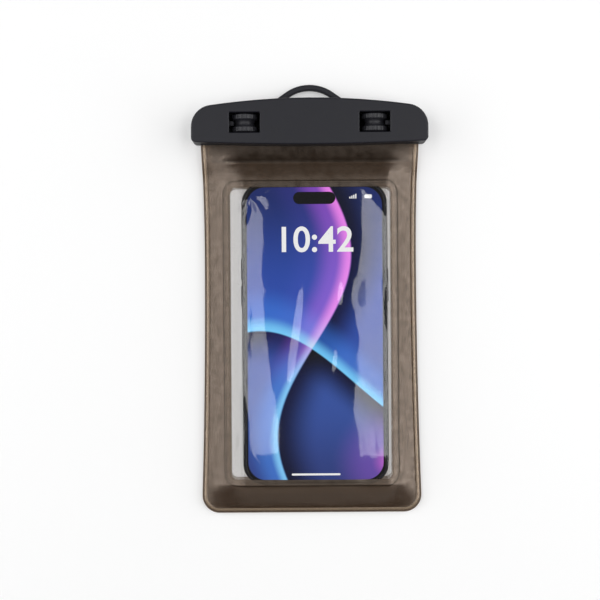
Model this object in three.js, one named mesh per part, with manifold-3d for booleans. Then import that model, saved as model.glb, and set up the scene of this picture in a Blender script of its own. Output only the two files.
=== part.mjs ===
// Waterproof phone pouch with a two-wheel clamp, lying on its back with a phone inside.
// Millimetres. +X runs across the pouch, +Y from its foot to the clamp, +Z away from the ground.
import * as THREE from "three";
import { mergeVertices } from "three/addons/utils/BufferGeometryUtils.js";
import Module from "manifold-3d";

const wasm = await Module();
wasm.setup();

// Driving dimensions. Lengths along the pouch are measured from its foot.

// Bag
const filmThick = 0.3;
const weldGap = 0.2;
const footHalf = 53.8;
const waistHalf = 51.6;
const mouthHalf = 52.9;
const waistAt = 125;
const footCorner = 8.5;
const flangeLift = 1.5;
const flangeWidth = 3.6;
const windowHalf = 39.1;
const windowFoot = 17.2;
const windowLength = 141.1;
const windowCorner = 2.8;
const windowLap = 3;
const mouthStripWidth = 11.7;
const beadInset = 1.8;
const ridgeWidth = 1;
const ridgeHeight = 0.25;
const restFullness = 0.55;
const spreadLength = 9;
const stripInset = 1;

// Phone
const phoneWidth = 70.6;
const phoneLength = 146.6;
const phoneThick = 8.25;
const phoneCorner = 10.5;
const phoneEdge = 2.2;
const phoneFoot = 14.3;
const phoneShift = 2;
const glassThick = 0.7;
const glassInset = 1.6;
const glassRound = 0.25;
const islandWidth = 16;
const islandLength = 34;
const islandThick = 1;
const islandMargin = 4.5;
const islandRound = 0.3;
const lensRadius = 5.4;
const lensThick = 0.5;
const lensSlack = 0.1;
const keyWidth = 2.6;
const keyProud = 0.4;
const keyDepth = 1.4;
const keyTravel = 0.3;

// Clamp
const barLength = 114;
const barHeight = 22.5;
const clampGap = 20.2;
const barTopRadius = 345;
const barFootRadius = 1100;
const barTopCorner = 10.5;
const barFootCorner = 2.2;
const barEdge = 0.8;
const clampThick = 14.5;
const partingHeight = 5.2;
const partingGap = 0.3;
const barWall = 1.6;
const frontWall = 1.7;
const sealLand = 4.3;
const stripWidth = 2.4;
const stripThick = 1.6;
const pinchRibNear = 1.3;
const pinchRibFar = 3.2;
const pinchRibThick = 0.8;
const ribThick = 1;
const ribNear = 11;
const ribFar = 19;
const ribEnd = 9;
const ribRecess = 1.5;
const windowRim = 1.2;

// Thumbwheels
const wheelSpread = 31.3;
const wheelRise = 10.7;
const wheelHeight = 7.4;
const wheelRadius = 6.6;
const waistRadius = 4.6;
const wheelLength = 8.6;
const wheelChamfer = 0.4;
const waistLength = 3.3;
const waistRise = 1;
const knurlCount = 28;
const knurlDepth = 0.15;
const tongueReach = 6.1;
const tongueThick = 1.5;
const tongueWidth = 2;
const axleRadius = 1.8;
const axleLength = 1.3;
const bearingWall = 2.2;
const throatPinch = 0.15;
const wheelWindowWidth = 14.9;
const wheelWindowLength = 9.7;
const wheelWindowCorner = 0.5;
const wheelWindowChamfer = 0.35;
const rearWindowWidth = 8.6;
const keeperReach = 2.3;
const keeperThick = 1.6;
const keeperChamfer = 0.9;
const keeperSlack = 0.85;

// Lanyard loop
const loopRise = 7.8;
const loopBand = 2.8;
const loopRadius = 20;
const loopArcHalf = 11.5;
const loopThick = 3.6;
const loopLift = 0.6;
const loopRound = 0.7;
const loopRoot = 3;

// Clearances and facets
const clearance = 0.3;
const arcSteps = 6;
const smallArcSteps = 2;
const discSides = 24;
const cutMargin = 5;
const slabMargin = 2;
const overlap = 0.2;
const nearlyHalf = 0.49;

// Materials
const looks = {
  charcoal: new THREE.MeshStandardMaterial({ color: "#303036", roughness: 0.55 }),
  wheel: new THREE.MeshStandardMaterial({ color: "#232327", roughness: 0.45 }),
  silicone: new THREE.MeshStandardMaterial({ color: "#8d8f92", roughness: 0.7 }),
  smoke: new THREE.MeshStandardMaterial({ color: "#6e6055", roughness: 0.35, opacity: 0.75, transparent: true }),
  clear: new THREE.MeshStandardMaterial({ color: "#e4e6e6", roughness: 0.1, opacity: 0.3, transparent: true }),
  phoneBand: new THREE.MeshStandardMaterial({ color: "#1b1b1f", roughness: 0.35, metalness: 0.8 }),
  screen: new THREE.MeshStandardMaterial({ color: "#253a8c", roughness: 0.08 }),
  phoneBack: new THREE.MeshStandardMaterial({ color: "#24262c", roughness: 0.3 }),
};

// Derived levels and places
const windowTop = windowFoot + windowLength;
const barFoot = windowTop + clampGap;
const pouchLength = barFoot + barHeight + loopRise;
const barTop = barFoot + barHeight;
const wheelAt = barFoot + wheelRise;
const wheelGap = wheelWindowLength / 2;
const landTop = wheelAt - wheelGap - axleLength - clearance;
const mouthEdge = landTop - clearance;
const rearFilmInClamp = partingHeight - clearance / 2 - 2 * filmThick - weldGap;
const frontFilmInClamp = partingHeight + clearance / 2 + filmThick + weldGap;
const channelHeight = 4 * filmThick + 2 * weldGap + 3 * clearance;
const channelFloor = partingHeight - channelHeight / 2;
const channelRoof = partingHeight + channelHeight / 2;
const stripLine = barFoot - (mouthStripWidth - sealLand);
const phoneRest = 2 * filmThick + weldGap + clearance + islandThick;
const phoneTop = phoneRest + phoneThick;
const frontFilmOver = phoneTop + clearance + filmThick + weldGap;
const phoneHead = phoneFoot + phoneLength;
const grooveAt = barFoot + (pinchRibNear + pinchRibFar) / 2;

// Solids and meshes
function toSolid(geometry) {
  const bare = geometry.clone();
  bare.deleteAttribute("normal");
  bare.deleteAttribute("uv");
  const merged = mergeVertices(bare, 1e-4);
  const vertProperties = new Float32Array(merged.attributes.position.array);
  const triVerts = new Uint32Array(merged.index.array);
  return new wasm.Manifold(new wasm.Mesh({ numProp: 3, vertProperties, triVerts }));
}

function toMesh(name, solid, material) {
  const { vertProperties, triVerts } = solid.getMesh();
  const geometry = new THREE.BufferGeometry();
  geometry.setAttribute("position", new THREE.BufferAttribute(new Float32Array(vertProperties), 3));
  geometry.setIndex(new THREE.BufferAttribute(new Uint32Array(triVerts), 1));
  geometry.computeVertexNormals();
  const mesh = new THREE.Mesh(geometry, material);
  mesh.name = name;
  return mesh;
}

const joined = (solids) => solids.reduce((whole, solid) => whole.add(solid));

function box(x0, x1, y0, y1, z0, z1) {
  const geometry = new THREE.BoxGeometry(x1 - x0, y1 - y0, z1 - z0);
  return toSolid(geometry.translate((x0 + x1) / 2, (y0 + y1) / 2, (z0 + z1) / 2));
}

// A flat outline raised from z0 to z1, with its rims rounded by the given radii.
function plate(shape, z0, z1, lowRound = 0, highRound = 0, steps = 2, curveSegments = arcSteps) {
  const round = Math.max(lowRound, highRound);
  const low = lowRound > 0 ? z0 : z0 - round;
  const high = highRound > 0 ? z1 : z1 + round;
  const blank = new THREE.ExtrudeGeometry(shape, {
    depth: high - low - 2 * round,
    bevelEnabled: round > 0,
    bevelThickness: round,
    bevelSize: round,
    bevelOffset: -round,
    bevelSegments: steps,
    curveSegments,
  });
  const solid = toSolid(blank.translate(0, 0, low + round));
  if (lowRound > 0 === highRound > 0) return solid;
  const span = pouchLength * 2;
  return solid.intersect(box(-span, span, -span, span, z0, z1));
}

function roundedRectangle(x0, x1, y0, y1, radius) {
  const shape = new THREE.Shape();
  shape.moveTo(x1, y0 + radius);
  shape.lineTo(x1, y1 - radius);
  shape.absarc(x1 - radius, y1 - radius, radius, 0, Math.PI / 2);
  shape.lineTo(x0 + radius, y1);
  shape.absarc(x0 + radius, y1 - radius, radius, Math.PI / 2, Math.PI);
  shape.lineTo(x0, y0 + radius);
  shape.absarc(x0 + radius, y0 + radius, radius, Math.PI, 1.5 * Math.PI);
  shape.lineTo(x1 - radius, y0);
  shape.absarc(x1 - radius, y0 + radius, radius, 1.5 * Math.PI, 2 * Math.PI);
  return shape;
}

// Bag surfaces: heights over the ground at any place on the pouch
const smooth = THREE.MathUtils.smoothstep;
const mix = THREE.MathUtils.lerp;

// Half the bag's width: a curve through its foot, waist and mouth.
function bagHalf(y) {
  const below = footHalf - waistHalf;
  const above = mouthHalf - waistHalf;
  const t = y < waistAt ? (waistAt - y) / waistAt : (y - waistAt) / (barFoot - waistAt);
  return waistHalf + (y < waistAt ? below : above) * Math.min(t, 1) ** 2;
}

// Rises from 0 at a weld to 1 over the phone, steep at the weld and level over the phone.
const swell = (t) => Math.sin((Math.PI / 2) * THREE.MathUtils.clamp(t, 0, 1));

// 0 on the flange, 1 over the phone.
function fullness(x, y) {
  const reach = x < phoneShift ? phoneWidth / 2 - phoneShift : phoneWidth / 2 + phoneShift;
  const weld = bagHalf(y) - flangeWidth;
  const side = swell((weld - Math.abs(x)) / (weld - reach));
  const foot = swell((y - flangeWidth) / (phoneFoot - flangeWidth));
  return side * foot;
}

// 0 along the bag, 1 where the bag enters the clamp.
const neck = (y) => smooth(y, phoneHead, barFoot - clearance);

// Underside of the rear panel.
function rearUnder(x, y) {
  const rise = flangeLift * (1 - smooth(fullness(x, y), 0, restFullness));
  return mix(rise, rearFilmInClamp, neck(y));
}

// Underside of the front panel: it spreads from the weld to make room for the mouth strips.
function frontUnder(x, y) {
  const spread = smooth(y, stripLine - stripInset - spreadLength, stripLine - stripInset);
  const apart = mix(filmThick + weldGap, frontFilmInClamp - rearFilmInClamp, spread);
  const flange = mix(flangeLift, rearFilmInClamp, neck(y)) + apart;
  return mix(flange, mix(frontFilmOver, frontFilmInClamp, neck(y)), fullness(x, y));
}

// Closed sheet between two height functions. All films share its grid, so stacked ones never cross.
function gridSheet(xs, ys, low, high) {
  const points = [low, high].flatMap((level) => ys.flatMap((y) => xs.flatMap((x) => [x, y, level(x, y)])));
  const layer = xs.length * ys.length;
  const [lastX, lastY] = [xs.length - 1, ys.length - 1];
  const at = (i, j) => j * xs.length + i;
  const index = [];
  const wall = (a, b) => index.push(a, b, b + layer, a, b + layer, a + layer);
  for (let i = 0; i < lastX; i += 1) {
    for (let j = 0; j < lastY; j += 1) {
      const [a, b, c, d] = [at(i, j), at(i + 1, j), at(i + 1, j + 1), at(i, j + 1)];
      index.push(a, c, b, a, d, c);
      index.push(...[a, b, c, a, c, d].map((corner) => corner + layer));
    }
    wall(at(i, 0), at(i + 1, 0));
    wall(at(i + 1, lastY), at(i, lastY));
  }
  for (let j = 0; j < lastY; j += 1) {
    wall(at(lastX, j), at(lastX, j + 1));
    wall(at(0, j + 1), at(0, j));
  }
  const sheet = new THREE.BufferGeometry();
  sheet.setAttribute("position", new THREE.Float32BufferAttribute(points, 3));
  return toSolid(sheet.setIndex(index));
}

// A film laid on a height function, wider and longer than the bag: any outline can be cut from it.
function filmSlab(under, thick = filmThick) {
  const spaced = (from, to, count) => Array.from({ length: count }, (_, i) => mix(from, to, (i + 1) / count));
  const hem = Math.min(footHalf, waistHalf, mouthHalf) - flangeWidth;
  const phoneSide = phoneWidth / 2 + phoneShift;
  const marks = [phoneWidth / 4, phoneWidth / 2 - phoneShift, phoneSide];
  marks.push(...spaced(phoneSide, hem, 3), Math.max(footHalf, waistHalf, mouthHalf) + slabMargin);
  const xs = [...marks.map((x) => -x).reverse(), 0, ...marks];
  const ys = [-slabMargin, flangeWidth, ...spaced(flangeWidth, phoneFoot, 3)];
  ys.push(...spaced(phoneFoot, phoneHead, 3), ...spaced(phoneHead, barFoot - clearance, 6));
  ys.push(mouthEdge + slabMargin);
  return gridSheet(xs, ys, under, (x, y) => under(x, y) + thick);
}

// Outline of a bag panel, drawn in by the inset, from its foot to its mouth.
function bagOutline(inset = 0) {
  const corner = footCorner - inset;
  const lowHalf = bagHalf(footCorner) - inset;
  const shape = new THREE.Shape();
  shape.moveTo(-lowHalf + corner, inset);
  shape.lineTo(lowHalf - corner, inset);
  shape.absarc(lowHalf - corner, footCorner, corner, -Math.PI / 2, 0);
  const steps = 14;
  const sideY = (step) => footCorner + ((mouthEdge - footCorner) * step) / steps;
  for (let step = 1; step <= steps; step += 1) shape.lineTo(bagHalf(sideY(step)) - inset, sideY(step));
  for (let step = steps; step >= 0; step -= 1) shape.lineTo(inset - bagHalf(sideY(step)), sideY(step));
  shape.absarc(corner - lowHalf, footCorner, corner, Math.PI, 1.5 * Math.PI);
  return shape;
}

const windowOutline = (grow) =>
  roundedRectangle(
    -windowHalf - grow,
    windowHalf + grow,
    windowFoot - grow,
    windowTop + grow,
    windowCorner + Math.max(grow, 0),
  );

const prism = (shape) => plate(shape, -cutMargin, clampThick + cutMargin);

// Smoky panels, each with a window hole, and the clear sheets welded behind their rims
const lap = filmThick + weldGap;
const windowHole = prism(windowOutline(0));
const windowSheet = prism(windowOutline(windowLap));
const bagCut = prism(bagOutline());

// Raised ridges that the welding tool leaves on a panel: one round the bag, one round its window.
function weldRidges(under) {
  const raised = filmSlab(under, filmThick + ridgeHeight);
  const mouthCut = box(-barLength, barLength, 0, barFoot - clearance, -cutMargin, clampThick + cutMargin);
  const edgeRing = prism(bagOutline(beadInset)).subtract(prism(bagOutline(beadInset + ridgeWidth)));
  const windowRing = windowSheet.subtract(prism(windowOutline(windowLap - ridgeWidth)));
  return raised.intersect(edgeRing.intersect(mouthCut).add(windowRing));
}

const frontPanel = filmSlab(frontUnder).intersect(bagCut).subtract(windowHole).add(weldRidges(frontUnder));
const rearPanel = filmSlab(rearUnder).intersect(bagCut).subtract(windowHole);
const frontWindow = filmSlab((x, y) => frontUnder(x, y) - lap).intersect(windowSheet);
const rearWindow = filmSlab((x, y) => rearUnder(x, y) + lap).intersect(windowSheet);

// Mouth strips: a second layer of film inside each panel, from the clamp's seal down past its edge
const stripHalf = mouthHalf - flangeWidth - stripInset;
const stripCut = box(-stripHalf, stripHalf, stripLine, mouthEdge, -cutMargin, clampThick + cutMargin);
const frontStrip = filmSlab((x, y) => frontUnder(x, y) - lap).intersect(stripCut);
const rearStrip = filmSlab((x, y) => rearUnder(x, y) + lap).intersect(stripCut);

// Phone: a metal band between two glass plates, with keys in its sides and a camera on its back
const phoneX0 = phoneShift - phoneWidth / 2;
const phoneX1 = phoneShift + phoneWidth / 2;
const bandLow = phoneRest + glassThick;
const bandHigh = phoneTop - glassThick;
const keyHeight = (bandLow + bandHigh) / 2;
const glassOutline = roundedRectangle(
  phoneX0 + glassInset,
  phoneX1 - glassInset,
  phoneFoot + glassInset,
  phoneHead - glassInset,
  phoneCorner - glassInset,
);

// Each key: name, side of the phone, distance of its middle from the phone's head, length.
const keys = [
  ["power_button", 1, 50, 16],
  ["volume_up_button", -1, 42, 10],
  ["volume_down_button", -1, 55, 10],
];

function keyBlock(side, fromHead, length, grow, deeper) {
  const face = side > 0 ? phoneX1 : phoneX0;
  const outer = side * (keyProud + deeper);
  const inner = -side * (keyDepth + deeper);
  const middle = phoneHead - fromHead;
  const shape = roundedRectangle(
    middle - length / 2 - grow,
    middle + length / 2 + grow,
    keyHeight - keyWidth / 2 - grow,
    keyHeight + keyWidth / 2 + grow,
    (keyWidth + 2 * grow) * nearlyHalf,
  );
  const block = new THREE.ExtrudeGeometry(shape, {
    depth: Math.abs(outer - inner),
    bevelEnabled: false,
    curveSegments: smallArcSteps,
  });
  const turned = new THREE.Matrix4().makeBasis(
    new THREE.Vector3(0, 1, 0),
    new THREE.Vector3(0, 0, 1),
    new THREE.Vector3(1, 0, 0),
  );
  return toSolid(block.applyMatrix4(turned).translate(face + Math.min(outer, inner), 0, 0));
}

function phoneBand() {
  const outline = roundedRectangle(phoneX0, phoneX1, phoneFoot, phoneHead, phoneCorner);
  let band = plate(outline, phoneRest, phoneTop, phoneEdge, phoneEdge, 2);
  band = band.intersect(box(phoneX0 - 1, phoneX1 + 1, phoneFoot - 1, phoneHead + 1, bandLow, bandHigh));
  for (const [, side, fromHead, length] of keys) {
    band = band.subtract(keyBlock(side, fromHead, length, clearance / 2, keyTravel + clearance));
  }
  return band;
}

const islandX = phoneX1 - islandMargin - islandWidth / 2;
const islandY = phoneHead - islandMargin - islandLength / 2;
const lensOffset = islandLength / 2 - islandWidth / 2;
const lensLow = phoneRest - islandThick;
const island = roundedRectangle(
  islandX - islandWidth / 2,
  islandX + islandWidth / 2,
  islandY - islandLength / 2,
  islandY + islandLength / 2,
  islandWidth * nearlyHalf,
);

function disc(radius, x, y, z0, z1) {
  const geometry = new THREE.CylinderGeometry(radius, radius, z1 - z0, discSides);
  return toSolid(geometry.rotateX(Math.PI / 2).translate(x, y, (z0 + z1) / 2));
}

function cameraIsland() {
  let plateau = plate(island, lensLow, phoneRest, islandRound, 0, 1);
  for (const side of [-1, 1]) {
    const y = islandY + side * lensOffset;
    plateau = plateau.subtract(disc(lensRadius + lensSlack, islandX, y, 0, lensLow + lensThick));
  }
  return plateau;
}

const lens = (side) => disc(lensRadius, islandX, islandY + side * lensOffset, lensLow, lensLow + lensThick);

// Clamp bars: outline with a bowed top, a slightly bowed foot and round corners
function barOutline(inset = 0) {
  const half = barLength / 2 - inset;
  const topR = barTopRadius - inset;
  const footR = barFootRadius - inset;
  const topCorner = barTopCorner - inset;
  const footCornerR = Math.max(barFootCorner - inset, 0.4);
  const topCentre = barTop - barTopRadius;
  const footCentre = barFoot + barFootRadius;
  const topY = topCentre + Math.sqrt((topR - topCorner) ** 2 - (half - topCorner) ** 2);
  const footY = footCentre - Math.sqrt((footR - footCornerR) ** 2 - (half - footCornerR) ** 2);
  const topTurn = Math.atan2(topY - topCentre, half - topCorner);
  const footTurn = Math.atan2(footY - footCentre, half - footCornerR);
  const shape = new THREE.Shape();
  shape.absarc(half - footCornerR, footY, footCornerR, footTurn, 0);
  shape.absarc(half - topCorner, topY, topCorner, 0, topTurn);
  shape.absarc(0, topCentre, topR, topTurn, Math.PI - topTurn);
  shape.absarc(topCorner - half, topY, topCorner, Math.PI - topTurn, Math.PI);
  shape.absarc(footCornerR - half, footY, footCornerR, Math.PI, Math.PI - footTurn);
  shape.absarc(0, footCentre, footR, Math.PI - footTurn, 2 * Math.PI + footTurn);
  return shape;
}

const wide = barLength;
const filmRoom = mouthHalf + clearance;

// Upright block with round corners, where a wheel looks out of a bar.
function wheelBlock(side, width, grow, z0, z1, chamfer = 0) {
  const outline = roundedRectangle(
    side * wheelSpread - width / 2 - grow,
    side * wheelSpread + width / 2 + grow,
    wheelAt - wheelWindowLength / 2 - grow,
    wheelAt + wheelWindowLength / 2 + grow,
    wheelWindowCorner + grow,
  );
  return plate(outline, z0, z1, chamfer, 0, 1, smallArcSteps);
}

// Walls that stiffen the hollow of a bar, one to each side of the middle and of each window.
const ribPlaces = [-1, 1].flatMap((side) => [side * ribNear, side * ribFar, side * (barLength / 2 - ribEnd)]);
const rib = (x, z0, z1) => box(x - ribThick / 2, x + ribThick / 2, landTop - 1, barTop + 1, z0, z1);
const stiffeners = (z0, z1) => joined([0, ...ribPlaces].map((x) => rib(x, z0, z1)));

function frontBar() {
  const low = partingHeight + partingGap / 2;
  const roof = clampThick - frontWall;
  let bar = plate(barOutline(), low, clampThick, 0, barEdge, 3);
  const hollow = plate(barOutline(barWall), low - 1, roof)
    .subtract(box(-wide, wide, barFoot - cutMargin, landTop, 0, clampThick))
    .subtract(stiffeners(low + ribRecess, roof + 1));
  bar = bar.subtract(hollow);
  bar = bar.subtract(box(-filmRoom, filmRoom, barFoot - cutMargin, landTop + clearance, 0, channelRoof));
  const ribLow = frontFilmInClamp + filmThick + clearance;
  for (const inward of [pinchRibNear, pinchRibFar]) {
    const y = barFoot + inward - pinchRibThick / 2;
    bar = bar.add(box(-mouthHalf, mouthHalf, y, y + pinchRibThick, ribLow, channelRoof + overlap));
  }
  const rim = clampThick - wheelWindowChamfer;
  const above = clampThick + 1;
  for (const side of [-1, 1]) {
    const hole = wheelBlock(side, wheelWindowWidth, 0, roof - 1, above);
    const chamfer = wheelBlock(side, wheelWindowWidth, wheelWindowChamfer, rim, above, wheelWindowChamfer);
    bar = bar.add(bearings(side, low)).subtract(hole).subtract(chamfer);
  }
  return bar;
}

// Two bearing walls of one wheel, each with an open saddle that the axle snaps into.
function bearings(side, low) {
  const x = side * wheelSpread;
  const half = axleRadius + bearingWall;
  const blocks = [-1, 1].map((end) => {
    const inner = wheelAt + end * wheelGap;
    const outer = inner + end * (axleLength + clearance);
    const [y0, y1] = [Math.min(inner, outer), Math.max(inner, outer)];
    return box(x - half, x + half, y0, y1, low + clearance, clampThick - frontWall + overlap);
  });
  const bore = axleRadius + clearance / 2;
  const length = 2 * (wheelGap + axleLength + clearance) + 1;
  const hole = toSolid(new THREE.CylinderGeometry(bore, bore, length, discSides).translate(x, wheelAt, wheelHeight));
  const throat = axleRadius - throatPinch;
  const slot = box(x - throat, x + throat, wheelAt - length / 2, wheelAt + length / 2, 0, wheelHeight);
  return joined(blocks).subtract(hole).subtract(slot);
}

function rearBar() {
  const high = partingHeight - partingGap / 2;
  let bar = plate(barOutline(), 0, high, barEdge, 0);
  let hollow = plate(barOutline(barWall), barWall, high + 1)
    .subtract(box(-wide, wide, barFoot - cutMargin, landTop, 0, clampThick))
    .subtract(stiffeners(0, high - ribRecess));
  for (const side of [-1, 1]) {
    hollow = hollow.subtract(wheelBlock(side, wheelWindowWidth, windowRim, 0, high + 1));
  }
  bar = bar.subtract(hollow);
  bar = bar.subtract(box(-filmRoom, filmRoom, barFoot - cutMargin, landTop + clearance, channelFloor, clampThick));
  const groove = [grooveAt - stripWidth / 2 - clearance, grooveAt + stripWidth / 2 + clearance];
  bar = bar.subtract(box(-mouthHalf, mouthHalf, ...groove, channelFloor - stripThick, channelFloor + 1));
  for (const side of [-1, 1]) {
    const well = wheelBlock(side, wheelWindowWidth, 0, barWall, high);
    const slot = wheelBlock(side, rearWindowWidth, 0, -1, high);
    bar = bar.add(keeper(side)).subtract(well).subtract(slot);
  }
  return bar.add(lanyardLoop());
}

// Hook that stands beside a rear window, outboard of its wheel, with an arm over the wheel's tongue.
function keeper(side) {
  const x = side * wheelSpread;
  const edge = x + (side * wheelWindowWidth) / 2;
  const back = edge + side * keeperThick;
  const tip = edge - side * keeperReach;
  const armLow = wheelHeight + tongueThick / 2 + keeperSlack;
  const half = tongueWidth / 2;
  const shape = new THREE.Shape();
  shape.moveTo(edge, barWall);
  shape.lineTo(edge, armLow);
  shape.lineTo(tip, armLow);
  shape.lineTo(tip, armLow + keeperThick / 2);
  shape.lineTo(tip + side * keeperChamfer, armLow + keeperThick);
  shape.lineTo(back, armLow + keeperThick);
  shape.lineTo(back, barWall);
  const post = new THREE.ExtrudeGeometry(shape, { depth: 2 * half, bevelEnabled: false });
  return toSolid(post.rotateX(Math.PI / 2).translate(0, wheelAt + half, 0));
}

// Arch of one radius: an arc over straight flanks that run down to the foot line.
function archOutline(radius, foot) {
  const lean = Math.asin(loopArcHalf / loopRadius);
  const centre = pouchLength - loopRadius;
  const kneeX = radius * Math.sin(lean);
  const kneeY = centre + radius * Math.cos(lean);
  const footX = kneeX + (kneeY - foot) / Math.tan(lean);
  const shape = new THREE.Shape();
  shape.moveTo(footX, foot);
  shape.lineTo(kneeX, kneeY);
  shape.absarc(0, centre, radius, Math.PI / 2 - lean, Math.PI / 2 + lean);
  shape.lineTo(-footX, foot);
  return shape;
}

function lanyardLoop() {
  const arch = archOutline(loopRadius, barTop - loopRoot);
  arch.holes.push(archOutline(loopRadius - loopBand, barTop));
  const loop = plate(arch, loopLift, loopLift + loopThick, loopRound, loopRound);
  return loop.subtract(plate(barOutline(barWall / 2), 0, clampThick));
}

// Silicone strip seated in the rear bar's groove
function sealStrip() {
  const half = mouthHalf - clearance;
  const [y0, y1] = [grooveAt - stripWidth / 2, grooveAt + stripWidth / 2];
  return box(-half, half, y0, y1, channelFloor - stripThick, channelFloor);
}

// Thumbwheel: two knurled flanges with chamfered rims, a waist, stub axles and one locking tongue
function knurledFlange() {
  const teeth = [];
  for (let i = 0; i < 2 * knurlCount; i += 1) {
    const turn = (Math.PI * i) / knurlCount;
    const radius = wheelRadius - (i % 2 ? knurlDepth : 0);
    teeth.push(new THREE.Vector2(radius * Math.cos(turn), radius * Math.sin(turn)));
  }
  return plate(new THREE.Shape(teeth), waistLength / 2, wheelLength / 2, wheelChamfer, wheelChamfer, 1);
}

// Axles and waist as one revolved profile: the waist is hollowed by an arc between the flanges.
function spindle() {
  const end = wheelLength / 2 + axleLength;
  const arcRadius = ((waistLength / 2) ** 2 + waistRise ** 2) / (2 * waistRise);
  const spread = Math.asin(waistLength / 2 / arcRadius);
  const profile = [new THREE.Vector2(0, -end), new THREE.Vector2(axleRadius, -end)];
  profile.push(new THREE.Vector2(axleRadius, -waistLength / 2 - wheelChamfer));
  for (let step = -3; step <= 3; step += 1) {
    const turn = (spread * step) / 3;
    const rise = arcRadius * (1 - Math.cos(turn));
    profile.push(new THREE.Vector2(waistRadius + rise, arcRadius * Math.sin(turn)));
  }
  profile.push(new THREE.Vector2(axleRadius, waistLength / 2 + wheelChamfer));
  profile.push(new THREE.Vector2(axleRadius, end), new THREE.Vector2(0, end));
  return toSolid(new THREE.LatheGeometry(profile, discSides).rotateX(Math.PI / 2));
}

function thumbwheel() {
  const flange = knurledFlange();
  const tongue = box(-tongueThick / 2, tongueThick / 2, -tongueReach, 0, -tongueWidth / 2, tongueWidth / 2);
  return joined([flange, flange.mirror([0, 0, 1]), spindle(), tongue]);
}

const spool = thumbwheel();
const wheelOnAxis = (side) =>
  spool.rotate([90, 0, 0]).translate([side * wheelSpread, wheelAt, wheelHeight]);

// Assembly, centred on the pouch's length
const pouch = new THREE.Group();
const add = (name, solid, material) => pouch.add(toMesh(name, solid, material));

add("front_bar", frontBar(), looks.charcoal);
add("rear_bar", rearBar(), looks.charcoal);
add("left_wheel", wheelOnAxis(-1), looks.wheel);
add("right_wheel", wheelOnAxis(1), looks.wheel);
add("seal_strip", sealStrip(), looks.silicone);
add("front_panel", frontPanel, looks.smoke);
add("rear_panel", rearPanel, looks.smoke);
add("front_window", frontWindow, looks.clear);
add("rear_window", rearWindow, looks.clear);
add("front_mouth_strip", frontStrip, looks.smoke);
add("rear_mouth_strip", rearStrip, looks.smoke);
add("phone_frame", phoneBand(), looks.phoneBand);
add("phone_screen", plate(glassOutline, bandHigh, phoneTop, 0, glassRound, 1), looks.screen);
add("phone_back", plate(glassOutline, phoneRest, bandLow, glassRound, 0, 1), looks.phoneBack);
add("phone_camera_island", cameraIsland(), looks.phoneBack);
add("phone_lens_upper", lens(1), looks.screen);
add("phone_lens_lower", lens(-1), looks.screen);
for (const [name, side, fromHead, length] of keys) {
  add(name, keyBlock(side, fromHead, length, 0, 0), looks.phoneBand);
}
pouch.position.y = -pouchLength / 2;

const part = new THREE.Group();
part.add(pouch);
export default part;
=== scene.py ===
"""Waterproof phone pouch: the look of every piece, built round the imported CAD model."""

import math

import bpy
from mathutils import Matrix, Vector, noise


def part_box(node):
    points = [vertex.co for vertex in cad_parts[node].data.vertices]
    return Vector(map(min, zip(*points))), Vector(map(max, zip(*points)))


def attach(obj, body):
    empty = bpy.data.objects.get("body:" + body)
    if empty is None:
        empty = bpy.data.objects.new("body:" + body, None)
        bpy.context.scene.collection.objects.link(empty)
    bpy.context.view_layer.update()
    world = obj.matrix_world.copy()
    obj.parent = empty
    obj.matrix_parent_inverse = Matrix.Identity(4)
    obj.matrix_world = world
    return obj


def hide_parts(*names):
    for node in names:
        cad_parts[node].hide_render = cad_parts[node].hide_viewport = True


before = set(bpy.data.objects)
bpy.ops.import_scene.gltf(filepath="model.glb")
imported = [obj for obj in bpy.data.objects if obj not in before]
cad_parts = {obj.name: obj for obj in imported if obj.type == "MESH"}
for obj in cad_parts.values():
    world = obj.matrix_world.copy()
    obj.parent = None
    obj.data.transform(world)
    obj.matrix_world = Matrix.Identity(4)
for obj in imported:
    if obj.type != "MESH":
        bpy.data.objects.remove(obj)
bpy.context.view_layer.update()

# Camera
# It looks straight down on the pouch, a little off its middle, as in the photograph. A pixel of the
# picture is about half a millimetre on the ground. Rays may pass through many layers of film.
CAMERA_AT = (-0.0052, -0.0006, 0.600)
CAMERA_TURN = -0.4
PICTURE_PIXELS = 600
FOCAL_PIXELS = 1222
SENSOR = 36.0
FILM_CROSSINGS = 32

bpy.ops.object.camera_add(location=CAMERA_AT)
camera = bpy.context.object
camera.data.sensor_width = SENSOR
camera.data.lens = SENSOR * FOCAL_PIXELS / PICTURE_PIXELS
camera.rotation_euler = (0, 0, math.radians(CAMERA_TURN))
bpy.context.scene.camera = camera
bpy.context.scene.view_settings.view_transform = "Standard"
bpy.context.scene.cycles.transparent_max_bounces = FILM_CROSSINGS

# Ground and light
# White matt paper under the pouch, with three pairs of softboxes at its sides, from narrow ones high
# up to wide ones low down. The room above is dim, so level film stays dark and sloping film shines.
GROUND_SIZE = 6
FIBRE_SCALE = 900.0
PLAIN_WHITE = 0.3
ROOM_LIGHT = 0.12
# Each softbox has its name, place, width and length, and power.
SOFTBOXES = [
    ("left_high_softbox", (-0.45, 0.1, 1.11), (0.32, 1.0), 3.2),
    ("right_high_softbox", (0.45, 0.1, 1.11), (0.32, 1.0), 3.5),
    ("left_middle_softbox", (-0.8, 0.1, 0.89), (0.5, 1.1), 1.9),
    ("right_middle_softbox", (0.8, 0.1, 0.89), (0.5, 1.1), 2.2),
    ("left_low_softbox", (-1.05, 0.1, 0.36), (0.68, 1.4), 8.0),
    ("right_low_softbox", (1.05, 0.1, 0.36), (0.68, 1.4), 9.4),
]


def linear(code):
    """An sRGB hex colour as linear red, green, blue and alpha."""
    parts = [int(code[i : i + 2], 16) / 255 for i in (1, 3, 5)]
    return [p / 12.92 if p <= 0.04045 else ((p + 0.055) / 1.055) ** 2.4 for p in parts] + [1.0]


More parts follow.
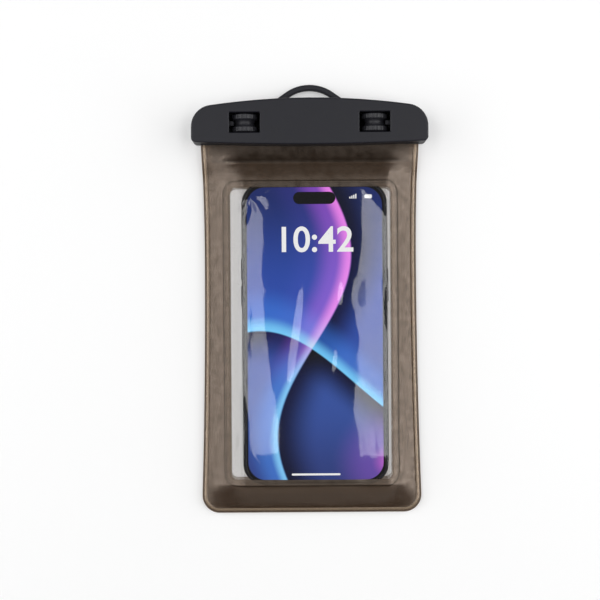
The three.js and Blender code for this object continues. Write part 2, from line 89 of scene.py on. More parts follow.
def node(tree, kind, inputs=(), **settings):
    """A new shader node with its settings, and its inputs as values or as links from other nodes."""
    made = tree.nodes.new(kind)
    for name, value in settings.items():
        setattr(made, name, value)
    for key, value in dict(inputs).items():
        if isinstance(value, bpy.types.NodeSocket):
            tree.links.new(value, made.inputs[key])
        else:
            made.inputs[key].default_value = value
    return made


def blank_material(name):
    """A material with an empty node tree and its output node."""
    material = bpy.data.materials.new(name)
    material.use_nodes = True
    tree = material.node_tree
    tree.nodes.clear()
    return material, tree, tree.nodes.new("ShaderNodeOutputMaterial")


def bump(tree, height, strength, distance, over=None):
    """Fine relief from a height, laid over another relief where one is given."""
    inputs = {"Strength": strength, "Distance": distance, "Height": height}
    if over is not None:
        inputs["Normal"] = over
    return node(tree, "ShaderNodeBump", inputs).outputs[0]


bpy.ops.mesh.primitive_plane_add(size=GROUND_SIZE)
ground = bpy.context.object
ground.name = "ground"
paper, tree, output = blank_material("white_paper")
fibres = node(tree, "ShaderNodeTexNoise", {"Scale": FIBRE_SCALE, "Detail": 2.0}).outputs[0]
matt = node(
    tree,
    "ShaderNodeBsdfPrincipled",
    {"Base Color": linear("#fafafa"), "Roughness": 0.9, "Normal": bump(tree, fibres, 0.05, 0.0001)},
)
white = node(tree, "ShaderNodeEmission", {"Color": (1, 1, 1, 1), "Strength": 1.0})
to_camera = node(tree, "ShaderNodeLightPath").outputs["Is Camera Ray"]
share = node(tree, "ShaderNodeMath", {0: to_camera, 1: PLAIN_WHITE}, operation="MULTIPLY")
both = node(tree, "ShaderNodeMixShader", {0: share.outputs[0], 1: matt.outputs[0], 2: white.outputs[0]})
tree.links.new(both.outputs[0], output.inputs[0])
ground.data.materials.append(paper)

world = bpy.data.worlds.new("white_room")
world.use_nodes = True
bpy.context.scene.world = world
world.node_tree.nodes["Background"].inputs[0].default_value = (1, 1, 1, 1)
world.node_tree.nodes["Background"].inputs[1].default_value = ROOM_LIGHT

for name, place, size, power in SOFTBOXES:
    bpy.ops.object.light_add(type="AREA", location=place)
    lamp = bpy.context.object
    lamp.name = name
    lamp.data.shape = "RECTANGLE"
    lamp.data.size, lamp.data.size_y = size
    lamp.data.energy = power
    lamp.rotation_euler = (0, math.atan2(place[0], place[2]), 0)


# Clamp bars
# Two charcoal ABS mouldings with a fine spark-eroded grain. The front one snaps over the rear one,
# which carries the lanyard loop.
GRAIN = 0.35e-3
CLOUDS_PER_METRE = 120.0
CLOUD_GAIN = 1.25


def piece_noise(tree, humps_per_metre, detail):
    """Noise that is fixed to the piece."""
    place = node(tree, "ShaderNodeTexCoord").outputs["Object"]
    settings = {"Vector": place, "Scale": humps_per_metre, "Detail": detail}
    return node(tree, "ShaderNodeTexNoise", settings).outputs[0]


def vary(tree, value, low, high):
    """Noise turned into values from low to high."""
    return node(tree, "ShaderNodeMapRange", {0: value, 1: 0.3, 2: 0.7, 3: low, 4: high}).outputs[0]


def moulded_plastic(name, colour, roughness, grain, depth):
    """A moulding with a fine grain in its surface and faint clouding in its colour."""
    material, tree, output = blank_material(name)
    cloud = piece_noise(tree, CLOUDS_PER_METRE, 3.0)
    fine = piece_noise(tree, 1 / grain, 3.0)
    low = linear(colour)
    high = [min(1, CLOUD_GAIN * c) for c in low[:3]] + [1.0]
    tint = node(tree, "ShaderNodeMix", {0: cloud, 6: low, 7: high}, data_type="RGBA")
    plastic = node(
        tree,
        "ShaderNodeBsdfPrincipled",
        {
            "Base Color": tint.outputs[2],
            "Roughness": vary(tree, fine, roughness - 0.06, roughness + 0.08),
            "IOR": 1.5,
            "Specular IOR Level": 0.4,
            "Normal": bump(tree, fine, 0.35, depth),
        },
    )
    tree.links.new(plastic.outputs[0], output.inputs[0])
    return material


def dress(node_name, material):
    """Gives a CAD node its material."""
    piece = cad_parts[node_name]
    piece.data.materials.clear()
    piece.data.materials.append(material)


bar_abs = moulded_plastic("charcoal_moulded_abs", "#12121a", roughness=0.48, grain=GRAIN, depth=0.0001)
for name in ("front_bar", "rear_bar"):
    dress(name, bar_abs)

# Thumbwheels
# Satin black ABS spools, ribbed for grip; the tool leaves them smoother than the bars.
wheel_abs = moulded_plastic("satin_moulded_abs", "#212126", roughness=0.45, grain=GRAIN, depth=0.00003)
for name in ("left_wheel", "right_wheel"):
    dress(name, wheel_abs)

# Seal strip
# Soft grey silicone cord pressed into the rear bar's groove; dull and a little dusty.
silicone = moulded_plastic("moulded_silicone", "#85878a", roughness=0.6, grain=0.5e-3, depth=0.00003)
dress("seal_strip", silicone)

# Bag film
# Two panels of soft smoky vinyl, high-frequency welded to each other round three edges, each with
# a clear sheet welded behind its window hole. Lengths in millimetres; v runs up from the bag's foot.
MM = 0.001
FILM = 0.3
SHEET_BEHIND = 0.5
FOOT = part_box("front_panel")[0].y / MM
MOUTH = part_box("front_panel")[1].y / MM - FOOT
STRIP_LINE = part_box("front_mouth_strip")[0].y / MM - FOOT
BAR_FOOT = 178.5
OPENS_OVER = 9
FOOT_HALF, WAIST_HALF, MOUTH_HALF, WAIST_AT = 53.8, 51.6, 52.9, 125
BAG_CORNER, LEAST_CORNER = 8.5, 0.5
WINDOW_HALF, WINDOW_LOW, WINDOW_HIGH, WINDOW_CORNER = 39.1, 17.2, 158.3, 2.8
END_POINTS, SIDE_POINTS, CORNER_POINTS = 24, 90, 12
SAME_POINT = 0.02
SHARPEST_SMOOTHED = 50
# The welded flange lies a little above the ground, and the film rises from it over the phone.
FLANGE_LIFT, FLANGE_WIDTH, FLANGE_GAP = 1.5, 2.6, 0.2
TAUT_EASE = 0.15
REAR_TURN = 0.55
PHONE_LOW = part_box("phone_frame")[0] / MM
PHONE_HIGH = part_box("phone_frame")[1] / MM
PHONE_FOOT = PHONE_LOW.y - FOOT
PHONE_HEAD = PHONE_HIGH.y - FOOT
PHONE_MIDDLE = (PHONE_LOW.x + PHONE_HIGH.x) / 2
PHONE_CLEARANCE, CLAMP_CLEARANCE = 0.8, 1.6
OVER_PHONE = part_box("phone_screen")[1].z / MM + PHONE_CLEARANCE
IN_CLAMP_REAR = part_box("rear_panel")[1].z / MM - FILM
IN_CLAMP_FRONT = IN_CLAMP_REAR + CLAMP_CLEARANCE
# The air in the bag lifts the film to a level middle, which widens towards the head and falls off
# with a soft turn to an even slope at its sides and ends.
CROWN_HEIGHT = 2.4
LEVEL_HALF_WIDTH, LEVEL_WIDENS, LEVEL_WIDENS_FROM, LEVEL_HALF_LENGTH = 17, 0.05, 70, 50
SIDE_SLOPE, SIDE_TURN = 0.15, 6
END_SLOPE, END_TURN = 0.14, 12
# Rows of soft humps: their height, width, length and seed.
CROWN_SAG = [(6, 102, 34, 9.2)]
PUCKERS = [(0.3, 14, 40, 3.1), (0.04, 5, 10, 7.7)]
# Lines of the cross weld: their height, place above the strip's foot and half width.
CROSS_WELD_LINES = [(0.2, 0, 0.7), (-0.12, -1.3, 0.6)]
CROSS_WELD_HALF, CROSS_WELD_FADE = 48, 4


def smooth(value, low, high):
    """0 below low, 1 above high, and an even turn between."""
    t = min(max((value - low) / (high - low), 0), 1)
    return t * t * (3 - 2 * t)


def mix(a, b, t):
    return a + (b - a) * t


def bell(distance, width):
    """1 at no distance, and next to 0 beyond twice the width."""
    return math.exp(-((distance / width) ** 2))


def humps(x, v, rows):
    """Even noise in rows of height, width, length and seed."""
    total = 0
    for height, width, length, seed in rows:
        total += height * noise.noise(Vector((x / width, v / length, seed)))
    return total


def fall(distance, turn):
    """Level at first, then an even slope of 1 that begins over the length of the turn."""
    d = max(distance, 0)
    return d * d / (2 * turn) if d < turn else d - turn / 2


def bag_half(v):
    """Half the bag's width at v."""
    if v < WAIST_AT:
        return WAIST_HALF + (FOOT_HALF - WAIST_HALF) * ((WAIST_AT - v) / WAIST_AT) ** 2
    return WAIST_HALF + (MOUTH_HALF - WAIST_HALF) * min((v - WAIST_AT) / (BAR_FOOT - WAIST_AT), 1) ** 2


def swell(t):
    """The side of the bulge: taut and nearly straight from the weld to the phone's edge."""
    return mix(min(max(t, 0), 1), smooth(t, 0, 1), TAUT_EASE)


def fullness(x, v):
    """0 on the welded flange, 1 over the phone."""
    reach = PHONE_HIGH.x if x > PHONE_MIDDLE else -PHONE_LOW.x
    weld = bag_half(v) - FLANGE_WIDTH
    return swell((weld - abs(x)) / (weld - reach)) * swell((v - FLANGE_WIDTH) / (PHONE_FOOT - FLANGE_WIDTH))


def neck(v):
    """0 along the bag, 1 where it enters the clamp."""
    return smooth(v, PHONE_HEAD, BAR_FOOT - 0.3)


def rear_under(x, v):
    """The height of the rear film's underside."""
    rise = FLANGE_LIFT * (1 - smooth(fullness(x, v), 0, REAR_TURN))
    return mix(rise, IN_CLAMP_REAR, neck(v))


def crown(x, v):
    """How far the air in the bag lifts the front film off the phone."""
    sag = humps(x, v, CROWN_SAG)
    level_half = LEVEL_HALF_WIDTH + LEVEL_WIDENS * (v - PHONE_FOOT - LEVEL_WIDENS_FROM)
    beside = abs(x - PHONE_MIDDLE) - level_half + sag
    beyond = abs(v - (PHONE_FOOT + PHONE_HEAD) / 2) - LEVEL_HALF_LENGTH + sag
    drop = SIDE_SLOPE * fall(beside, SIDE_TURN) + END_SLOPE * fall(beyond, END_TURN)
    return max(CROWN_HEIGHT - drop, 0)


def front_under(x, v):
    """The height of the front film's underside."""
    spread = smooth(v, STRIP_LINE - 1 - OPENS_OVER, STRIP_LINE - 1)
    apart = mix(FILM + FLANGE_GAP, IN_CLAMP_FRONT - IN_CLAMP_REAR, spread)
    flange = mix(FLANGE_LIFT, IN_CLAMP_REAR, neck(v)) + apart
    over = mix(OVER_PHONE, IN_CLAMP_FRONT, neck(v))
    full = fullness(x, v)
    loose = 4 * full * (1 - full) * (1 - neck(v))
    weld = sum(height * bell(v - STRIP_LINE - at, half) for height, at, half in CROSS_WELD_LINES)
    weld *= smooth(CROSS_WELD_HALF - abs(x), 0, CROSS_WELD_FADE)
    return mix(flange, over, full) + crown(x, v) * full + loose * humps(x, v, PUCKERS) + weld


def ring(half, low, high, low_corner, high_corner):
    """A closed loop of points: straight or waisted sides and round corners, from the foot's middle."""

    def arc(cx, cv, radius, start):
        turns = [math.radians(start + 90 / CORNER_POINTS * i) for i in range(CORNER_POINTS)]
        return [(cx + radius * math.cos(turn), cv + radius * math.sin(turn)) for turn in turns]

    foot_x = half(low + low_corner) - low_corner
    head_x = half(high - high_corner) - high_corner
    points = [(foot_x * i / END_POINTS, low) for i in range(END_POINTS)]
    points += arc(foot_x, low + low_corner, low_corner, -90)
    for i in range(SIDE_POINTS):
        v = mix(low + low_corner, high - high_corner, i / SIDE_POINTS)
        points.append((half(v), v))
    points += arc(head_x, high - high_corner, high_corner, 0)
    points += [(head_x * (1 - i / END_POINTS), high) for i in range(END_POINTS + 1)]
    return points + [(-x, v) for x, v in reversed(points[1:-1])]


def bag_ring(inset):
    """The bag's outline moved in; in the clamp, where nothing shows, the rows stay close together."""
    corner = max(BAG_CORNER - inset, LEAST_CORNER)
    return ring(lambda v: bag_half(v) - inset, inset, MOUTH - 0.1 * inset, corner, LEAST_CORNER)


def window_ring(grow):
    """The window hole's outline moved out."""
    corner = WINDOW_CORNER + max(grow, 0)
    return ring(lambda v: WINDOW_HALF + grow, WINDOW_LOW - grow, WINDOW_HIGH + grow, corner, corner)


def unit_grid(name, columns, rows):
    """A flat grid of side 1, whose points are then laid in place."""
    bpy.ops.mesh.primitive_grid_add(x_subdivisions=columns, y_subdivisions=rows, size=1)
    piece = bpy.context.object
    piece.name = name
    return piece


def rolled_grid(name, rings, height, strips):
    """A grid rolled up so that each of its rows lies on one closed ring, at the given height.

    Faces between the rows of the first strip get the second material, and so on.
    """
    columns = len(rings[0])
    piece = unit_grid(name, columns, len(rings) - 1)
    rows = [round((vertex.co.y + 0.5) * (len(rings) - 1)) for vertex in piece.data.vertices]
    for vertex, row in zip(piece.data.vertices, rows):
        x, v = rings[row][round((vertex.co.x + 0.5) * columns) % columns]
        vertex.co = Vector((x, v + FOOT, height(x, v, row))) * MM
    for number, strip in enumerate(strips, 1):
        for polygon in piece.data.polygons:
            if all(rows[i] in strip for i in polygon.vertices):
                polygon.material_index = number
    return piece


def finish_film(piece, *materials):
    """Merges the seam, turns the faces up, thickens the film upwards, smooths it and dresses it."""
    bpy.ops.object.mode_set(mode="EDIT")
    bpy.ops.mesh.select_all(action="SELECT")
    bpy.ops.mesh.remove_doubles(threshold=SAME_POINT * MM)
    bpy.ops.object.mode_set(mode="OBJECT")
    mean = sum(polygon.normal.z * polygon.area for polygon in piece.data.polygons)
    if mean < 0:
        piece.data.flip_normals()
    shell = piece.modifiers.new("thickness", "SOLIDIFY")
    shell.thickness = FILM * MM
    shell.offset = 1
    bpy.ops.object.modifier_apply(modifier=shell.name)
    bpy.ops.object.shade_smooth_by_angle(angle=math.radians(SHARPEST_SMOOTHED))
    for material in materials:
        piece.data.materials.append(material)


def vinyl_film(name, tint, body, sheen, share, index, roughness, waves):
    """Soft vinyl film: light passes with a tint, save for the share that meets its glossy skin."""
    material, tree, output = blank_material(name)
    peel = piece_noise(tree, 1 / waves, 2.0)
    fine = piece_noise(tree, 5000.0, 1.0)
    swirl = bump(tree, peel, 0.12, 0.0002)
    clear = node(tree, "ShaderNodeBsdfTransparent", {"Color": linear(tint)})
    skin = node(
        tree,
        "ShaderNodeBsdfPrincipled",
        {
            "Base Color": linear(body),
            "Roughness": vary(tree, peel, roughness * 0.8, roughness * 1.25),
            "IOR": index,
            "Specular IOR Level": 1.0,
            "Specular Tint": linear(sheen),
            "Normal": bump(tree, fine, 0.08, 0.00002, over=swirl),
        },
    )
    both = node(tree, "ShaderNodeMixShader", {0: share, 1: clear.outputs[0], 2: skin.outputs[0]})
    tree.links.new(both.outputs[0], output.inputs[0])
    return material


smoky_vinyl = vinyl_film(
    "calendered_smoky_vinyl", tint="#d3c7bb", body="#3f342a", sheen="#fff0e2",
    share=0.3, index=2.0, roughness=0.36, waves=4e-3,
)
# Painted highlight: a lighter film for the raised weld bead inside the outer edge.
bead_highlight_vinyl = vinyl_film(
    "bead_painted_highlight_vinyl", tint="#ece4da", body="#a09280", sheen="#fff0e2",
    share=0.3, index=2.0, roughness=0.3, waves=2.5e-3,
)
# Painted shade: a darker film for the weld lines round the window and at the cross weld, standing in for the
# shade beside their ridges.
weld_line_shade_vinyl = vinyl_film(
    "weld_line_painted_shade_vinyl", tint="#a89c90", body="#2a221a", sheen="#d9cdc0",
    share=0.3, index=1.8, roughness=0.34, waves=2.5e-3,
)
clear_vinyl = vinyl_film(
    "calendered_clear_vinyl", tint="#ffffff", body="#55585a", sheen="#ffffff",
    share=0.04, index=4.0, roughness=0.09, waves=4e-3,
)

# Smoky panels
# Each is a frame round its window. The welding tool leaves a bead inside the outer edge, drawn lighter as a
# painted highlight, and a line round the window, which stands up at the front; just outside it the film is
# drawn darker as painted shade.
WINDOW_STEPS = [0, 0.4, 1.6, 2.0, 2.3, 2.7, 3.3]
EDGE_STEPS = [4.6, 3.6, 3.0, 2.6, 2.3, 2.05, 1.8, 1.55, 1.3, 1.0, 0.5, 0]
BLEND_ROWS = 26
BEAD_INSET, BEAD_HEIGHT, BEAD_HALF = 1.8, 0.4, 0.6
LINE_AT, LINE_HEIGHT, LINE_HALF = 2.5, 0.22, 0.6
RIM_WIDTH, RIM_DROP = 0.5, 0.15
# Rows of the bead that get the lighter film of painted highlight.
HIGHLIGHT_FROM, HIGHLIGHT_TO = 1.0, 2.05
# From here out, the rows round the window get the darker film of painted shade.
SHADED_LINE_FROM = 2.7


def panel(name, under, embossed):
    """A film frame: rows round the window, rows that lead to the outer edge, and rows along it."""
    rings = [window_ring(step) for step in WINDOW_STEPS]
    first, last = window_ring(WINDOW_STEPS[-1]), bag_ring(EDGE_STEPS[0])
    for row in range(1, BLEND_ROWS):
        t = row / BLEND_ROWS
        rings.append([(mix(a, c, t), mix(b, d, t)) for (a, b), (c, d) in zip(first, last)])
    rings += [bag_ring(step) for step in EDGE_STEPS]
    edge_row = len(rings) - len(EDGE_STEPS)

    def height(x, v, row):
        z = under(x, v)
        if embossed and row < len(WINDOW_STEPS):
            step = WINDOW_STEPS[row]
            z += LINE_HEIGHT * max(0, 1 - abs(step - LINE_AT) / LINE_HALF)
            z -= RIM_DROP * smooth(RIM_WIDTH - step, 0, RIM_WIDTH)
        if embossed and row >= edge_row and v < BAR_FOOT - 1:
            step = EDGE_STEPS[row - edge_row]
            z += BEAD_HEIGHT * max(0, 1 - ((step - BEAD_INSET) / BEAD_HALF) ** 2)
        return z

    # Rows on the weld bead: painted highlight.
    highlight_rows = [edge_row + i for i, step in enumerate(EDGE_STEPS) if HIGHLIGHT_FROM <= step <= HIGHLIGHT_TO]
    # Rows just outside the window's ridge: painted shade.
    shaded_line_rows = [i for i, step in enumerate(WINDOW_STEPS) if step >= SHADED_LINE_FROM]
    piece = rolled_grid(name, rings, height, (highlight_rows, shaded_line_rows))
    finish_film(piece, smoky_vinyl, bead_highlight_vinyl, weld_line_shade_vinyl)
    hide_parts(name.replace("_skin", ""))
    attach(piece, "pouch")


panel("front_panel_skin", front_under, embossed=True)
panel("rear_panel_skin", rear_under, embossed=False)

# Clear windows
# Glossy clear vinyl, welded behind the frames. The front one is lifted by the air in the bag in soft
# folds, and crumpled a little at the corner where the phone pushes it.
LAP_WIDTH = 3
LOOSE_FROM, LOOSE_TO = 2, 7
SIDE_FROM, SIDE_TO = 14, 33
SIDE_WAVES = [(0.3, 24 / 2.2, 24, 1.3), (0.1, 3, 9, 2.4)]
MIDDLE_WAVES = [(0.22, 26 / 2.2, 26, 5.9)]
# Creases that fan out from the phone's upper left corner.
FAN_AT = (PHONE_LOW.x + 2.5, PHONE_HEAD - 6)
FAN_HEIGHT, FAN_CREASES, FAN_TWIST, FAN_REACH, FAN_EYE = 0.2, 9, 0.35, 13, 4
# Each fold has its foot, its head and the width of its steep side.
FOLDS = [
    ((PHONE_MIDDLE - 11, PHONE_FOOT + 42), (PHONE_MIDDLE - 2, PHONE_FOOT + 104), 5.5),
    ((PHONE_MIDDLE + 14, PHONE_FOOT + 84), (PHONE_MIDDLE + 15, PHONE_FOOT + 101), 4.5),
    ((PHONE_MIDDLE + 10, PHONE_FOOT + 52), (PHONE_MIDDLE + 12, PHONE_FOOT + 68), 3.5),
]
FOLD_SLOPE, FOLD_TAIL, FOLD_END = 0.17, 3, 0.7


def fold(x, v, foot, head, width):
    """A leaning fold from foot to head, steep on its left over the width and gentle on its right."""
    run = Vector(head) - Vector(foot)
    place = Vector((x, v)) - Vector(foot)
    t = min(max(place.dot(run) / run.length_squared, 0), 1)
    across = (place.x * run.y - place.y * run.x) / run.length
    sides = smooth(across, -width, 0) * smooth(-across, -FOLD_TAIL * width, 0)
    return FOLD_SLOPE * width * math.sin(math.pi * t) ** FOLD_END * sides


def wrinkles(x, v):
    """The fan of creases, long soft waves down the sides, a few broad ones between, and the folds."""
    dx, dv = x - FAN_AT[0], v - FAN_AT[1]
    distance = math.hypot(dx, dv)
    fan = FAN_HEIGHT * math.sin(FAN_CREASES * math.atan2(dv, dx) + FAN_TWIST * distance)
    fan *= bell(distance, FAN_REACH) * min(distance / FAN_EYE, 1)
    side = smooth(abs(x - PHONE_MIDDLE), SIDE_FROM, SIDE_TO)
    waves = side * humps(x, v, SIDE_WAVES) + (1 - side) * humps(x, v, MIDDLE_WAVES)
    return fan + waves + sum(fold(x, v, foot, head, width) for foot, head, width in FOLDS)


def window_sheet(name, under, offset, columns, rows, crumpled):
    """A clear sheet that laps behind the frame all round."""
    piece = unit_grid(name, columns, rows)
    half, low, high = WINDOW_HALF + LAP_WIDTH, WINDOW_LOW - LAP_WIDTH, WINDOW_HIGH + LAP_WIDTH
    for vertex in piece.data.vertices:
        x = vertex.co.x * 2 * half
        v = mix(low, high, vertex.co.y + 0.5)
        z = under(x, v) + offset
        if crumpled:
            to_edges = (half - abs(x), v - low, high - v)
            z += wrinkles(x, v) * math.prod(smooth(d, LOOSE_FROM, LOOSE_TO) for d in to_edges)
        vertex.co = Vector((x, v + FOOT, z)) * MM
    finish_film(piece, clear_vinyl)
    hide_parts(name.replace("_film", ""))
    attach(piece, "pouch")


window_sheet("front_window_film", front_under, -SHEET_BEHIND, columns=150, rows=240, crumpled=True)
window_sheet("rear_window_film", rear_under, SHEET_BEHIND, columns=30, rows=60, crumpled=False)

# Mouth strips
# A second layer of smoky film inside each panel, from the clamp down to a cross weld, which shows as a
# narrow ridge over a dark line of painted shade at the strip's foot.
SHADED_STRIP_FOOT = 0.8


def mouth_strip(name, under, offset):
    """A strip across the mouth, with closer rows of points at the cross weld."""
    piece = unit_grid(name, columns=80, rows=16)
    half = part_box("front_mouth_strip")[1].x / MM
    for vertex in piece.data.vertices:
        x = vertex.co.x * 2 * half
        v = mix(STRIP_LINE, MOUTH, (vertex.co.y + 0.5) ** 2)
        vertex.co = Vector((x, v + FOOT, under(x, v) + offset)) * MM
    # The rows at the strip's foot get the darker film of painted shade.
    for polygon in piece.data.polygons:
        polygon.material_index = int(polygon.center.y < (STRIP_LINE + FOOT + SHADED_STRIP_FOOT) * MM)
    finish_film(piece, smoky_vinyl, weld_line_shade_vinyl)
    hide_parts(name.replace("_film", ""))
    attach(piece, "pouch")


mouth_strip("front_mouth_strip_film", front_under, -SHEET_BEHIND)
mouth_strip("rear_mouth_strip_film", rear_under, SHEET_BEHIND)


# Phone
# Black anodised band with its keys, a frosted rear glass, camera island and lenses.
def anodised_metal(name, colour, roughness):
    """Bead-blasted and anodised aluminium: dark, satin, with a very fine sparkle."""
    material, tree, output = blank_material(name)
    blast = piece_noise(tree, 4000.0, 1.0)
    metal = node(
        tree,
        "ShaderNodeBsdfPrincipled",
        {
            "Base Color": linear(colour),
            "Metallic": 0.85,
            "Roughness": vary(tree, blast, roughness - 0.05, roughness + 0.05),
            "Normal": bump(tree, blast, 0.1, 0.00001),
        },
    )
    tree.links.new(metal.outputs[0], output.inputs[0])
    return material


black_metal = anodised_metal("anodised_black_aluminium", "#26262a", roughness=0.34)
for name in ("phone_frame", "phone_camera_island", "power_button", "volume_up_button", "volume_down_button"):
    dress(name, black_metal)
rear_glass = moulded_plastic("frosted_rear_glass", "#202228", roughness=0.3, grain=0.2e-3, depth=0.00001)
dress("phone_back", rear_glass)
lens_glass = moulded_plastic("polished_lens_glass", "#0a0c12", roughness=0.06, grain=2e-3, depth=0.000002)
for name in ("phone_lens_upper", "phone_lens_lower"):
    dress(name, lens_glass)

# Display
# A lit panel under polished glass, with a black border and round corners. Its picture is two soft
# ribbons of light on deep blue.
GLASS_LOW, GLASS_HIGH = (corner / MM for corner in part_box("phone_screen"))
DISPLAY_BORDER = 1.1
DISPLAY_CORNER = 8.6
DISPLAY_HALF = [(GLASS_HIGH[i] - GLASS_LOW[i]) / 2 - DISPLAY_BORDER for i in (0, 1)]
DISPLAY_MIDDLE = (GLASS_LOW + GLASS_HIGH) / 2

display, screen_tree, output = blank_material("lit_display_under_glass")


def calc(operation, *values):
    """One arithmetic step on sockets or numbers."""
    return node(screen_tree, "ShaderNodeMath", dict(enumerate(values)), operation=operation).outputs[0]


def length(a, b):
    """The length of the slanting side over a and b."""
    return calc("SQRT", calc("ADD", calc("MULTIPLY", a, a), calc("MULTIPLY", b, b)))


def ramp(value, *stops):
    """A soft colour ramp through (place, hex colour) stops."""
    made = node(screen_tree, "ShaderNodeValToRGB", {0: value})
    made.color_ramp.interpolation = "EASE"
    while len(made.color_ramp.elements) < len(stops):
        made.color_ramp.elements.new(0.5)
    for element, (at, colour) in zip(made.color_ramp.elements, stops):
        element.position = at
        element.color = linear(colour)
    return made.outputs[0]


def blend_colours(kind, amount, a, b):
    inputs = {0: amount, 6: a, 7: b}
    return node(screen_tree, "ShaderNodeMix", inputs, data_type="RGBA", blend_type=kind).outputs[2]


# Places on the display, in halves of its width from its middle.
place = node(screen_tree, "ShaderNodeTexCoord").outputs["Object"]
to_middle = {"Vector": place, "Location": [-c for c in DISPLAY_MIDDLE * MM]}
centred = node(screen_tree, "ShaderNodeMapping", to_middle).outputs[0]
parts = node(screen_tree, "ShaderNodeSeparateXYZ", {0: centred})
across = calc("DIVIDE", parts.outputs[0], DISPLAY_HALF[0] * MM)
along = calc("DIVIDE", parts.outputs[1], DISPLAY_HALF[0] * MM)
height = calc("MULTIPLY_ADD", along, 0.22, 0.5)
base = ramp(height, (0.0, "#2b3a78"), (0.3, "#34509c"), (0.6, "#2a4aa6"), (1.0, "#172560"))
# First ribbon: an S from the foot to the head. Its light falls off to the left, azure low down and
# magenta above, and its right side is in shade.
curve = calc("MULTIPLY", calc("SINE", calc("MULTIPLY_ADD", along, 1.15, 0.2)), 0.55)
side = calc("MULTIPLY_ADD", calc("SUBTRACT", across, curve), 0.5, 0.5)
shade_first = ramp(side, (0.0, "#ffffff"), (0.49, "#ffffff"), (0.505, "#3a3f60"), (0.8, "#ffffff"))
azure = ramp(
    side, (0.0, "#000000"), (0.25, "#0b1c48"), (0.42, "#2a5fae"), (0.485, "#79c2f2"), (0.502, "#000000")
)
magenta = ramp(
    side, (0.0, "#000000"), (0.2, "#1c1246"), (0.38, "#7a3aa6"), (0.485, "#ea7ce6"), (0.502, "#000000")
)
turn = ramp(height, (0.3, "#000000"), (0.62, "#ffffff"))
glow_first = blend_colours("MIX", turn, azure, magenta)
# Second ribbon: falls from the left edge to the right one, with cyan light above it and, below it
# on the right, a violet glow.
slope = calc("MULTIPLY", calc("COSINE", calc("MULTIPLY_ADD", across, 1.1, 0.9)), 0.8)
above = calc("MULTIPLY_ADD", calc("SUBTRACT", along, calc("ADD", slope, -0.75)), 0.5, 0.5)
shade_second = ramp(above, (0.2, "#ffffff"), (0.49, "#2c2f55"), (0.5, "#ffffff"), (1.0, "#ffffff"))
cyan = ramp(above, (0.49, "#000000"), (0.502, "#6cc4f6"), (0.62, "#1d4f9c"), (0.85, "#000000"))
from_corner = length(calc("SUBTRACT", across, 1.1), calc("ADD", along, 1.9))
violet = ramp(from_corner, (0.0, "#c052bc"), (0.3, "#5b2a7c"), (0.9, "#000000"))
glow_second = blend_colours("SCREEN", 1.0, cyan, violet)
shaded = blend_colours("MULTIPLY", 1.0, blend_colours("MULTIPLY", 1.0, base, shade_first), shade_second)
picture = blend_colours("SCREEN", 1.0, blend_colours("SCREEN", 1.0, shaded, glow_first), glow_second)
# The lit area is a rectangle with round corners; outside it the glass is black.
corner_x = calc("SUBTRACT", calc("ABSOLUTE", parts.outputs[0]), (DISPLAY_HALF[0] - DISPLAY_CORNER) * MM)
corner_y = calc("SUBTRACT", calc("ABSOLUTE", parts.outputs[1]), (DISPLAY_HALF[1] - DISPLAY_CORNER) * MM)
reach = length(calc("MAXIMUM", corner_x, 0.0), calc("MAXIMUM", corner_y, 0.0))
lit = calc("LESS_THAN", reach, DISPLAY_CORNER * MM)
smudge = piece_noise(screen_tree, 60.0, 3.0)
glass = node(
    screen_tree,
    "ShaderNodeBsdfPrincipled",
    {
        "Base Color": linear("#050507"),
        "Roughness": vary(screen_tree, smudge, 0.04, 0.1),
        "IOR": 1.5,
        "Emission Color": blend_colours("MIX", lit, (0, 0, 0, 1), picture),
        "Emission Strength": 1.0,
    },
)
screen_tree.links.new(glass.outputs[0], output.inputs[0])
dress("phone_screen", display)

# Signs on the display
# Plain clock figures, signal bars, a battery mark and the home bar, as lit white marks on the glass.
# The sensors sit in a black capsule at the head.
lit_white, tree, output = blank_material("lit_white_marks")
speckle = node(tree, "ShaderNodeTexNoise", {"Scale": 800.0})
level = node(tree, "ShaderNodeMapRange", {0: speckle.outputs[0], 3: 0.93, 4: 1.0}).outputs[0]
tone = node(tree, "ShaderNodeCombineColor", {0: level, 1: level, 2: level})
mark = node(
    tree,
    "ShaderNodeBsdfPrincipled",
    {
        "Base Color": (0, 0, 0, 1),
        "Roughness": 0.08,
        "Emission Color": tone.outputs[0],
        "Emission Strength": 0.9,
    },
)
tree.links.new(mark.outputs[0], output.inputs[0])
sensor_glass = moulded_plastic("black_sensor_glass", "#08080b", roughness=0.08, grain=2e-3, depth=0.000002)
MARK_THICK = 0.02
MARK_BOTTOM = GLASS_HIGH.z
HEAD = DISPLAY_MIDDLE.y + DISPLAY_HALF[1]
HOME_EDGE = DISPLAY_MIDDLE.y - DISPLAY_HALF[1]
BAR_SPACING, SHORTEST_BAR, BAR_GROWTH = 0.95, 0.9, 0.45
CLOCK_DROP, CLOCK_SIZE, CLOCK_WEIGHT = 31, 17.2, 0.22


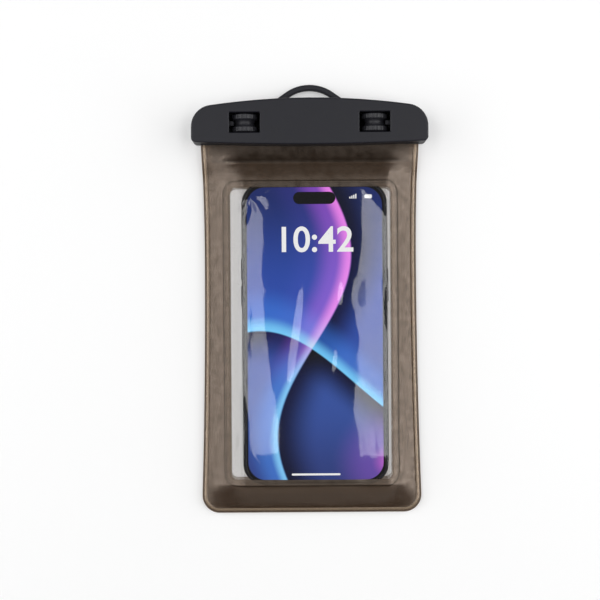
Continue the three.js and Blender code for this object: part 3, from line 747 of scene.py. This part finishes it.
def lay_mark(piece, name, material):
    """Applies a mark's place, names and dresses it and fixes it to the pouch's body."""
    bpy.ops.object.transform_apply(location=True, rotation=True, scale=True)
    piece.name = name
    piece.data.materials.clear()
    piece.data.materials.append(material)
    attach(piece, "pouch")


def capsule(name, x, y, width, height, material, corner=None):
    """A flat bar at x from the display's middle, with round ends or the given corners."""
    radius = (height / 2 if corner is None else corner) * MM
    thick = MARK_THICK * MM
    place = ((DISPLAY_MIDDLE.x + x) * MM, y * MM, MARK_BOTTOM * MM + thick / 2)
    bpy.ops.mesh.primitive_cube_add(size=1, location=place)
    piece = bpy.context.object
    piece.scale = (width * MM, height * MM, thick)
    bpy.ops.object.transform_apply(location=False, rotation=False, scale=True)
    bpy.ops.object.mode_set(mode="EDIT")
    bpy.ops.mesh.select_all(action="DESELECT")
    bpy.ops.mesh.select_mode(type="EDGE")
    bpy.ops.object.mode_set(mode="OBJECT")
    for edge in piece.data.edges:
        a, b = (piece.data.vertices[i].co for i in edge.vertices)
        edge.select = abs(a.z - b.z) > thick / 2
    bpy.ops.object.mode_set(mode="EDIT")
    bpy.ops.mesh.bevel(offset=radius * 0.999, segments=10, affect="EDGES")
    bpy.ops.object.mode_set(mode="OBJECT")
    lay_mark(piece, name, material)


capsule("sensor_capsule", 0, HEAD - 5.2, 20.4, 5.9, sensor_glass)
capsule("home_bar", 0, HOME_EDGE + 2.6, 23.5, 0.95, lit_white)
for i in range(4):
    tall = SHORTEST_BAR + BAR_GROWTH * i
    capsule(f"signal_bar_{i}", 17.2 + BAR_SPACING * i, HEAD - 5.6 + tall / 2, 0.6, tall, lit_white, 0.12)
capsule("battery_mark", 26.0, HEAD - 4.6, 3.6, 1.9, lit_white, 0.55)

clock_place = (DISPLAY_MIDDLE.x * MM, (HEAD - CLOCK_DROP) * MM, MARK_BOTTOM * MM)
bpy.ops.object.text_add(location=clock_place)
figures = bpy.context.object
figures.data.body = "10:42"
figures.data.align_x = "CENTER"
figures.data.size = CLOCK_SIZE * MM
figures.data.offset = CLOCK_WEIGHT * MM
figures.data.extrude = MARK_THICK * MM / 2
bpy.ops.object.convert(target="MESH")
lay_mark(bpy.context.object, "clock_figures", lit_white)
